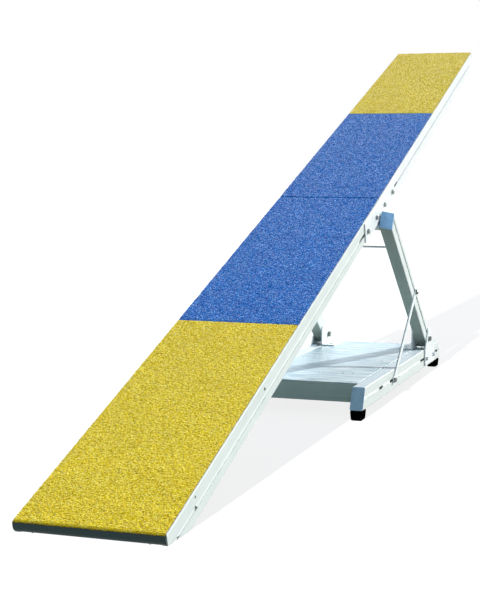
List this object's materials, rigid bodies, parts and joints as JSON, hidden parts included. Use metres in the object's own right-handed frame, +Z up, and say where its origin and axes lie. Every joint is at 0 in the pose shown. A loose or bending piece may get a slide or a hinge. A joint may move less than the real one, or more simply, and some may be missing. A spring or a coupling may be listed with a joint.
{
  "type": "dog agility seesaw",
  "caption": "Long narrow rubber-coated plank in yellow and blue fields that tilts on an axle between two leaning braced posts on a low aluminium ladder base.",
  "frame": {"origin": "on the ground under the middle of the bounding box", "axes": "+Y runs along the seesaw away from the plank end that rests on the ground, +X is to the right of someone who walks up the plank, +Z is up"},
  "size_m": [0.4088, 3.4196, 1.1676],
  "materials": {
    "aluminium_profile": "satin",
    "aluminium_plate": "brushed",
    "grey_cap": "matte",
    "zinc_fastener": "satin",
    "steel_axle": "satin",
    "bronze_bush": "satin",
    "black_rubber": "matte",
    "dark_nosing": "matte",
    "yellow_rubber": "matte",
    "blue_rubber": "matte"
  },
  "bodies": {
    "base": {"base_beam_left": "aluminium_profile", "base_beam_right": "aluminium_profile", "beam_cap_front_left": "grey_cap", "beam_cap_front_right": "grey_cap", "beam_cap_rear_left": "grey_cap", "beam_cap_rear_right": "grey_cap", "foot_front_left": "black_rubber", "foot_front_right": "black_rubber", "foot_rear_left": "black_rubber", "foot_rear_right": "black_rubber", "crossbeam_front": "aluminium_profile", "crossbeam_middle": "aluminium_profile", "crossbeam_rear": "aluminium_profile", "base_deck": "aluminium_plate", "post_left": "aluminium_profile", "post_right": "aluminium_profile", "post_cap_left": "grey_cap", "post_cap_right": "grey_cap", "axle": "steel_axle", "axle_collar_left": "zinc_fastener", "axle_collar_right": "zinc_fastener", "tie_rod": "zinc_fastener", "foot_angle_left": "aluminium_plate", "foot_angle_right": "aluminium_plate", "gusset_left": "aluminium_plate", "gusset_right": "aluminium_plate", "post_foot_bolt_left": "zinc_fastener", "post_foot_bolt_right": "zinc_fastener", "strut_left": "aluminium_plate", "strut_right": "aluminium_plate", "strut_foot_bolt_left": "zinc_fastener", "strut_foot_bolt_right": "zinc_fastener", "strut_top_bolt_left": "zinc_fastener", "strut_top_bolt_right": "zinc_fastener"},
    "plank": {"rail_near_left": "aluminium_profile", "rail_near_right": "aluminium_profile", "rail_far_left": "aluminium_profile", "rail_far_right": "aluminium_profile", "plank_sheet_near": "aluminium_plate", "plank_sheet_far": "aluminium_plate", "yellow_granulate_near": "yellow_rubber", "blue_granulate_near": "blue_rubber", "blue_granulate_far": "blue_rubber", "yellow_granulate_far": "yellow_rubber", "end_nosing_near": "dark_nosing", "end_nosing_far": "dark_nosing", "cross_rib_near_1": "aluminium_profile", "cross_rib_near_2": "aluminium_profile", "cross_rib_near_3": "aluminium_profile", "cross_rib_near_4": "aluminium_profile", "cross_rib_far_1": "aluminium_profile", "cross_rib_far_2": "aluminium_profile", "cross_rib_far_3": "aluminium_profile", "cross_rib_far_4": "aluminium_profile", "splice_plate_left": "aluminium_plate", "splice_plate_right": "aluminium_plate", "pivot_bracket_left": "aluminium_plate", "pivot_bracket_right": "aluminium_plate", "pivot_bush_left": "bronze_bush", "pivot_bush_right": "bronze_bush"}
  },
  "joints": [
    {"name": "plank_tilt", "type": "hinge", "parent": "base", "child": "plank", "pos_m": [0, 0.02268, 0.516], "axis": [-1, 0, 0], "range_deg": [0, 36.98]}
  ]
}
